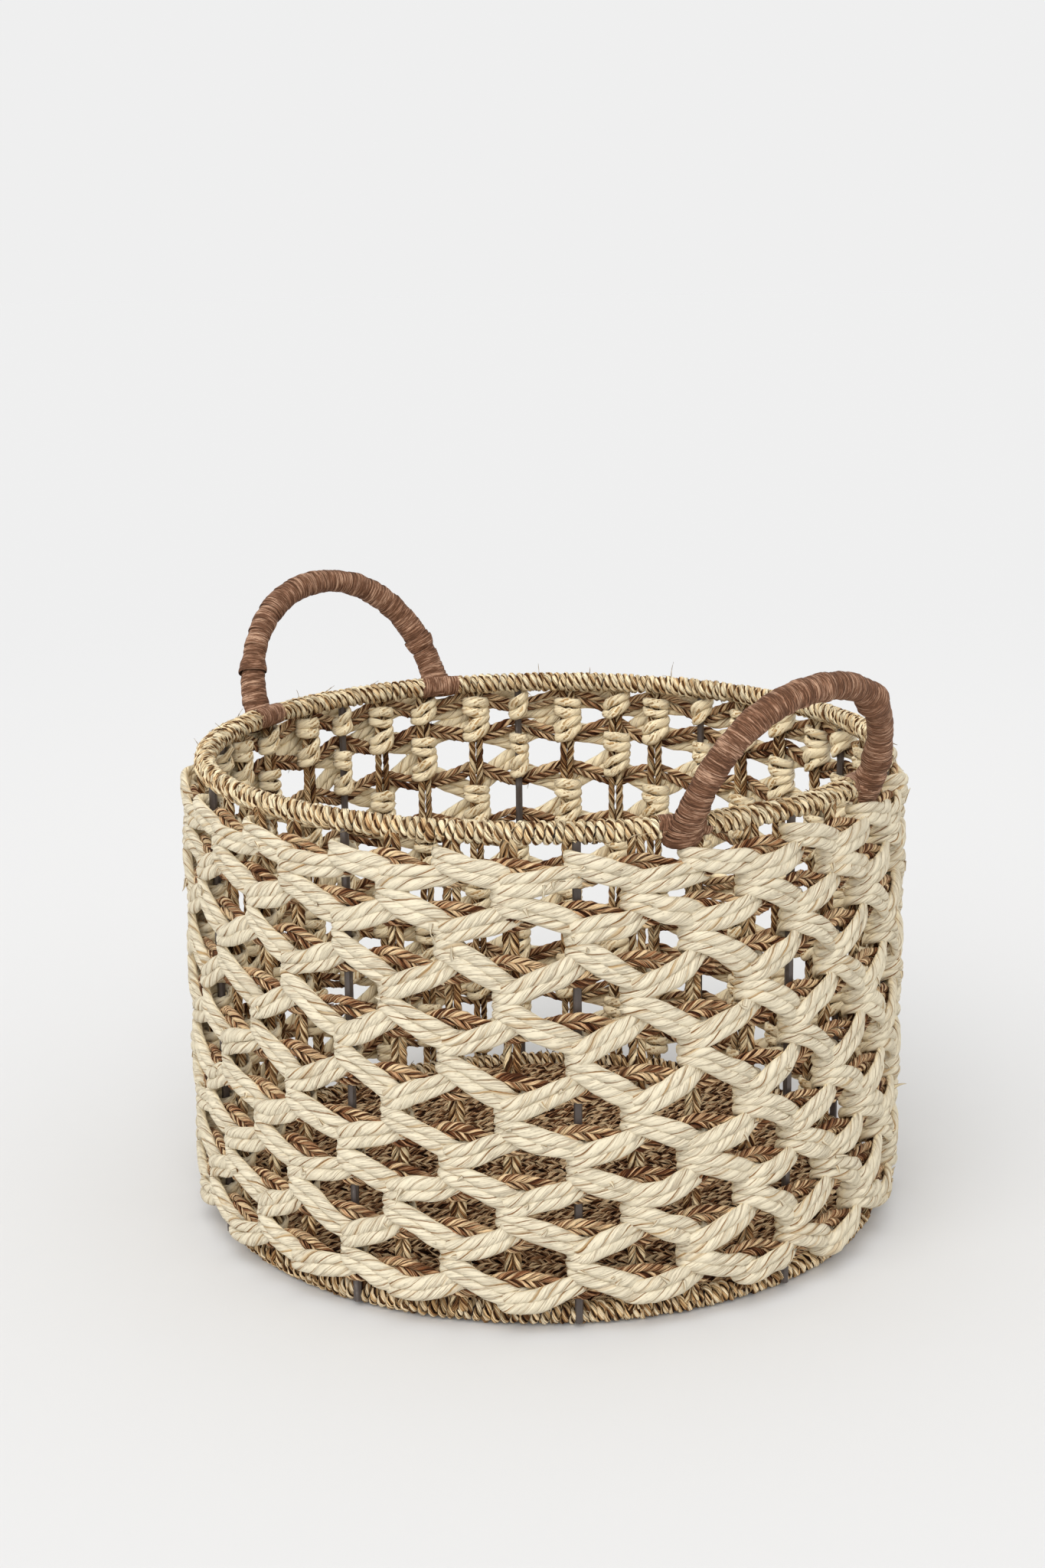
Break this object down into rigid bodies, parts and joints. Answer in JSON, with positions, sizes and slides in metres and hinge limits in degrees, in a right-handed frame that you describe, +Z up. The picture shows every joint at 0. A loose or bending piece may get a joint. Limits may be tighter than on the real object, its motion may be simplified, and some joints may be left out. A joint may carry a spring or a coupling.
{
  "type": "laundry basket woven",
  "caption": "Round open-weave laundry basket on a painted wire frame, with zigzag rows of cream cord over brown cord, corded rims, a mat base and two wrapped arch handles.",
  "frame": {"origin": "middle of the base, on the surface the basket stands on", "axes": "+Z up out of the mouth, and the two handles stand on -X and +X, so +Y is across them"},
  "size_m": [0.4711, 0.4394, 0.3676],
  "materials": {
    "frame_steel": "thin dark grey-brown paint, half matt",
    "rim_seagrass": "two-ply twisted seagrass cord wound closely, golden to olive, dry",
    "stake_seagrass": "pairs of two-ply twisted seagrass cord, golden brown, dry",
    "brown_seagrass": "two-ply twisted seagrass cord with reddish brown strands, dry",
    "cream_cord": "soft cream husk cord in two loose strands, matt with fine creases",
    "mat_seagrass": "coarse flat weave of twisted seagrass, olive to dark brown, dry",
    "handle_twine": "brown paper twine band wound in close overlapping turns, matt"
  },
  "bodies": {
    "root": {"top_ring": "frame_steel", "bottom_ring": "frame_steel", "upright_01": "frame_steel", "upright_02": "frame_steel", "upright_03": "frame_steel", "upright_04": "frame_steel", "upright_05": "frame_steel", "upright_06": "frame_steel", "upright_07": "frame_steel", "upright_08": "frame_steel", "upright_09": "frame_steel", "upright_10": "frame_steel", "handle_rod_left": "frame_steel", "handle_rod_right": "frame_steel", "handle_wrap_left": "handle_twine", "handle_wrap_right": "handle_twine", "rim_wrap_front": "rim_seagrass", "rim_wrap_back": "rim_seagrass", "rim_wrap_left": "rim_seagrass", "rim_wrap_right": "rim_seagrass", "base_rim_wrap": "rim_seagrass", "stake_panel_01": "stake_seagrass", "stake_panel_02": "stake_seagrass", "stake_panel_03": "stake_seagrass", "stake_panel_04": "stake_seagrass", "stake_panel_05": "stake_seagrass", "stake_panel_06": "stake_seagrass", "stake_panel_07": "stake_seagrass", "stake_panel_08": "stake_seagrass", "stake_panel_09": "stake_seagrass", "stake_panel_10": "stake_seagrass", "cream_row_1": "cream_cord", "cream_row_2": "cream_cord", "cream_row_3": "cream_cord", "cream_row_4": "cream_cord", "cream_row_5": "cream_cord", "cream_row_6": "cream_cord", "cream_row_7": "cream_cord", "cream_row_8": "cream_cord", "cream_row_9": "cream_cord", "brown_row_1": "brown_seagrass", "brown_row_2": "brown_seagrass", "brown_row_3": "brown_seagrass", "brown_row_4": "brown_seagrass", "brown_row_5": "brown_seagrass", "brown_row_6": "brown_seagrass", "brown_row_7": "brown_seagrass", "brown_row_8": "brown_seagrass", "brown_row_9": "brown_seagrass", "base_mat": "mat_seagrass"}
  },
  "joints": []
}
